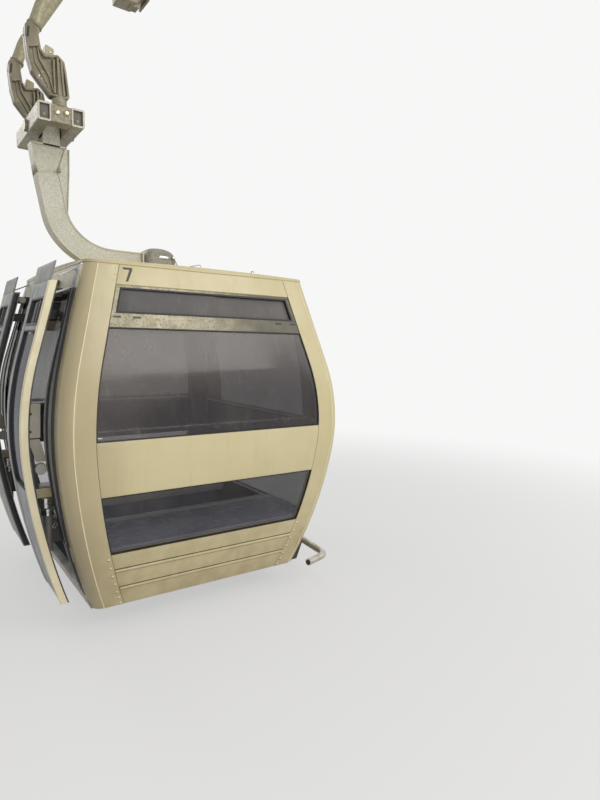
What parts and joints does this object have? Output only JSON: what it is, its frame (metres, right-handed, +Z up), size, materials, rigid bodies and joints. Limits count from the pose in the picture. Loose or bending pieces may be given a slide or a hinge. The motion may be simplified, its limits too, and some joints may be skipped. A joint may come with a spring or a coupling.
{
  "type": "cable car cabin",
  "caption": "Barrel-sided aerial ropeway cabin with open sliding doors, tinted windows, a swan-neck hanger, a twin-tube carrier and rope grips.",
  "frame": {"origin": "on the rope's axis, midway between the two grips", "axes": "+Z up, +Y along the rope, -X towards the doorway"},
  "size_m": [2.0259, 2.072, 4.21],
  "materials": {
    "cream_paint": "cream paint, satin, worn at the edges",
    "door_paint": "pale grey paint on the leaves",
    "tinted_pane": "dark tinted acrylic",
    "aged_aluminium": "mottled mill aluminium",
    "galvanised": "weathered grey paint on steel",
    "casting": "rough casting, grey paint",
    "bright_steel": "machined steel",
    "dark_steel": "dark grey paint",
    "bench_shell": "grey moulded seat",
    "floor_tread": "grey floor covering",
    "rail_steel": "stainless tube"
  },
  "bodies": {
    "carrier": {"swing_pin": "bright_steel", "carrier_frame": "galvanised"},
    "cabin": {"post_side_far": "cream_paint", "post_side_near": "cream_paint", "post_door_far": "cream_paint", "post_door_near": "cream_paint", "fascia_near": "cream_paint", "fascia_far": "cream_paint", "vent_frame_near": "aged_aluminium", "vent_frame_far": "aged_aluminium", "vent_panes": "tinted_pane", "end_glass_near": "tinted_pane", "end_glass_far": "tinted_pane", "end_band_near": "cream_paint", "end_band_far": "cream_paint", "lower_glass_near": "tinted_pane", "lower_glass_far": "tinted_pane", "end_boards_near": "cream_paint", "end_boards_far": "cream_paint", "side_fascia": "cream_paint", "side_glass": "tinted_pane", "side_band": "cream_paint", "side_lower_glass": "tinted_pane", "side_boards": "cream_paint", "door_header": "cream_paint", "door_sill": "cream_paint", "side_panel_near": "cream_paint", "side_panel_far": "cream_paint", "side_panel_glass": "tinted_pane", "door_leaf_near": "door_paint", "door_leaf_far": "door_paint", "door_glass": "tinted_pane", "door_arms_near": "galvanised", "door_arms_far": "galvanised", "floor_pan": "floor_tread", "underframe": "dark_steel", "bumper_tube": "bright_steel", "roof": "cream_paint", "hanger_housing": "galvanised", "bench_near": "bench_shell", "bench_far": "bench_shell", "grab_rails": "rail_steel", "swan_neck": "galvanised"},
    "arm_near": {"upper_arm_near": "casting", "rope_grip_near": "casting"},
    "arm_far": {"upper_arm_far": "casting", "rope_grip_far": "casting"}
  },
  "joints": [
    {"name": "hanger_swing", "type": "hinge", "parent": "carrier", "child": "cabin", "pos_m": [-0.718, 0, -1.14], "axis": [1, 0, 0], "range_deg": [-25, 25]},
    {"name": "arm_swivel_near", "type": "hinge", "parent": "carrier", "child": "arm_near", "pos_m": [-0.718, -0.28, -1.04], "axis": [0, 0, 1], "range_deg": [-12, 12]},
    {"name": "arm_swivel_far", "type": "hinge", "parent": "carrier", "child": "arm_far", "pos_m": [-0.718, 0.28, -1.04], "axis": [0, 0, 1], "range_deg": [-12, 12]}
  ],
  "couplings": [
    {"joint": "arm_swivel_far", "follows": "arm_swivel_near", "ratio": -1}
  ]
}
